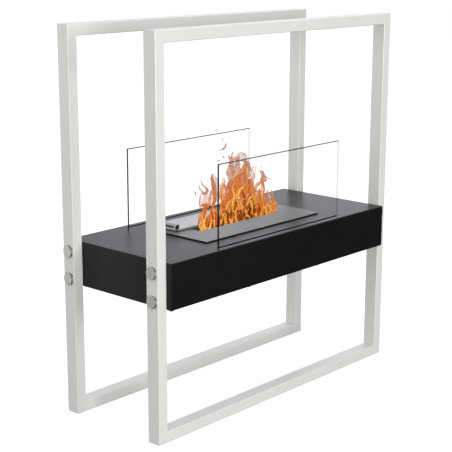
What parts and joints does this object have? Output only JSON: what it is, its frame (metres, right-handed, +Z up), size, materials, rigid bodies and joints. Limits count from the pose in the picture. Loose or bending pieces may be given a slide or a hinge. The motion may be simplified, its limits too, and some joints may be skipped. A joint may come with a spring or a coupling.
{
  "type": "bioethanol fireplace",
  "caption": "Free-standing bioethanol fireplace: two upright rectangular tube frames hold a black steel housing with a drop-in burner, sliding lid and glass panes.",
  "frame": {"origin": "on the floor under the middle of the object", "axes": "+X along the housing to the right, +Y from the front frame to the rear frame, +Z up"},
  "size_m": [0.6068, 0.24, 0.65],
  "materials": {
    "frame_paint": "satin silver-white powder coat",
    "housing_black": "satin black powder coat",
    "plated_steel": "zinc plated",
    "bolt_steel": "satin nickel",
    "strip_rubber": "matt",
    "clear_glass": "tempered, ground edges",
    "burner_steel": "brushed",
    "ceramic_wool": "matt fibre",
    "seal_fibre": "black braided glass fibre",
    "lid_steel": "brushed"
  },
  "bodies": {
    "root": {"front_left_post": "frame_paint", "front_right_post": "frame_paint", "front_bottom_rail": "frame_paint", "front_top_rail": "frame_paint", "rear_left_post": "frame_paint", "rear_right_post": "frame_paint", "rear_bottom_rail": "frame_paint", "rear_top_rail": "frame_paint", "housing_shell": "housing_black", "bottom_panel": "housing_black", "bottom_screws": "plated_steel", "left_end_plate": "plated_steel", "right_end_plate": "plated_steel", "left_nuts": "plated_steel", "right_nuts": "plated_steel", "left_bolts": "bolt_steel", "right_bolts": "bolt_steel", "front_glass_channel": "housing_black", "rear_glass_channel": "housing_black", "front_glass_strip": "strip_rubber", "rear_glass_strip": "strip_rubber"},
    "burner": {"burner_top": "burner_steel", "burner_seal": "seal_fibre", "burner_pan": "burner_steel", "fuel_cup": "burner_steel", "ceramic_wool": "ceramic_wool", "wool_screen": "burner_steel"},
    "lid": {"lid": "lid_steel", "lid_glide": "seal_fibre", "lid_pull": "lid_steel"},
    "front_glass": {"front_glass": "clear_glass"},
    "rear_glass": {"rear_glass": "clear_glass"}
  },
  "joints": [
    {"name": "burner_lift", "type": "slide", "parent": "root", "child": "burner", "axis": [0, 0, 1], "range_m": [0, 0.1]},
    {"name": "lid_slide", "type": "slide", "parent": "burner", "child": "lid", "axis": [0, -1, 0], "range_m": [0, 0.041]},
    {"name": "front_glass_lift", "type": "slide", "parent": "root", "child": "front_glass", "axis": [0, 0, 1], "range_m": [0, 0.04]},
    {"name": "rear_glass_lift", "type": "slide", "parent": "root", "child": "rear_glass", "axis": [0, 0, 1], "range_m": [0, 0.04]}
  ]
}
